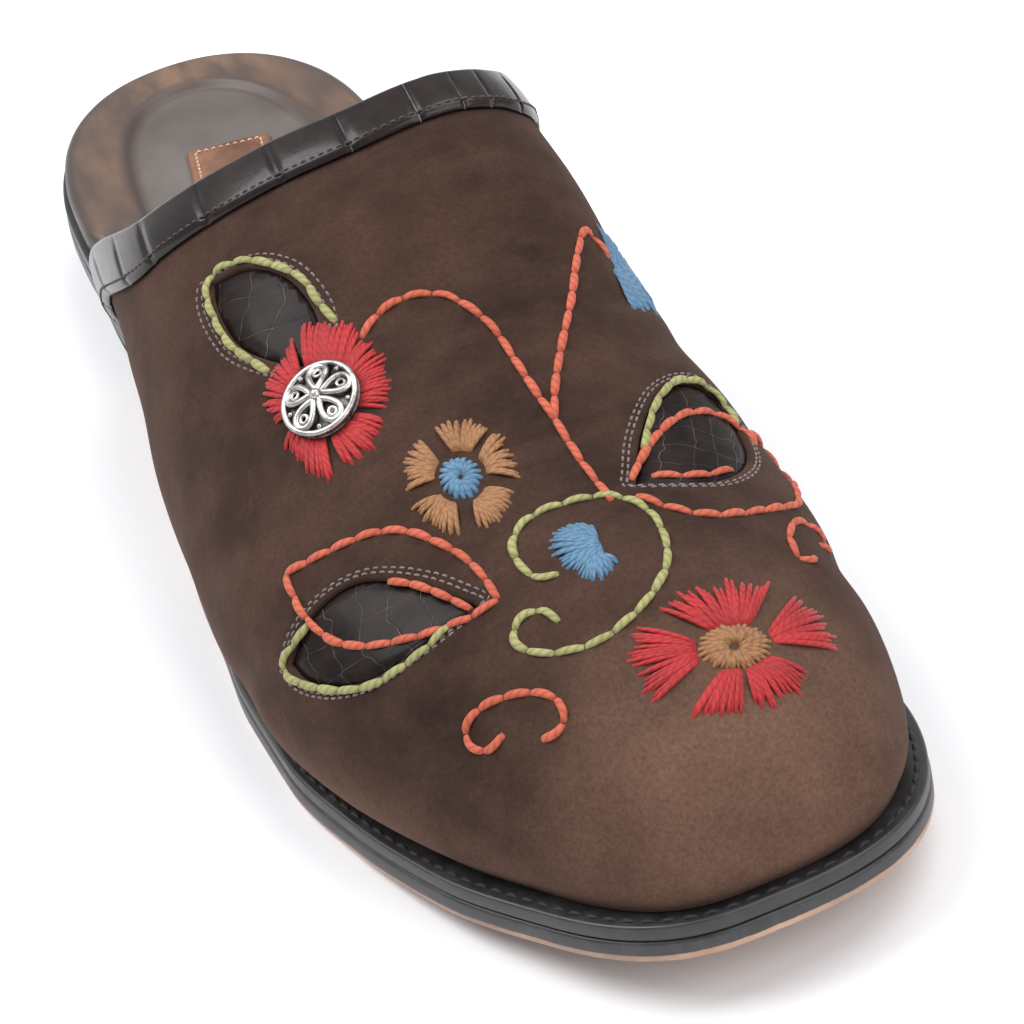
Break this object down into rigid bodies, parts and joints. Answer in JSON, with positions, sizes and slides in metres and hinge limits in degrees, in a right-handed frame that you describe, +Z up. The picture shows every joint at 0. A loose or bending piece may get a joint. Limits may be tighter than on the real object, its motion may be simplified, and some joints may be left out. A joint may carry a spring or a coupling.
{
  "type": "mule clog slipper",
  "caption": "Backless closed-toe suede slipper, right shoe, with a folded leather collar band, leather leaf insets, a wrapped footbed and a low heel.",
  "frame": {"origin": "middle of the bounding box's underside, on the floor", "axes": "+X from the heel to the toe, +Y to the medial side (the wearer's left), +Z up"},
  "size_m": [0.26, 0.0852, 0.0746],
  "materials": {
    "suede": "dark brown suede with a lighter brushed nap towards the toe",
    "embossed_leather": "glossy dark brown leather embossed in large scales",
    "silver": "polished silver-coloured metal, dark in its recesses",
    "insole_leather": "smooth grey-brown leather with a worn tan rim",
    "patch_leather": "tan leather with a light stitched border",
    "sole_edge": "black waxed edge over a tan underside",
    "heel_rubber": "matt black rubber"
  },
  "bodies": {
    "root": {"upper": "suede", "collar_binding": "embossed_leather", "leaf_inlay_lateral_rear": "embossed_leather", "leaf_inlay_lateral_front": "embossed_leather", "leaf_inlay_medial_front": "embossed_leather", "filigree_button": "silver", "footbed": "insole_leather", "insole_patch": "patch_leather", "midsole": "sole_edge", "outsole": "sole_edge", "heel_block": "sole_edge", "heel_top_piece": "heel_rubber"}
  },
  "joints": []
}
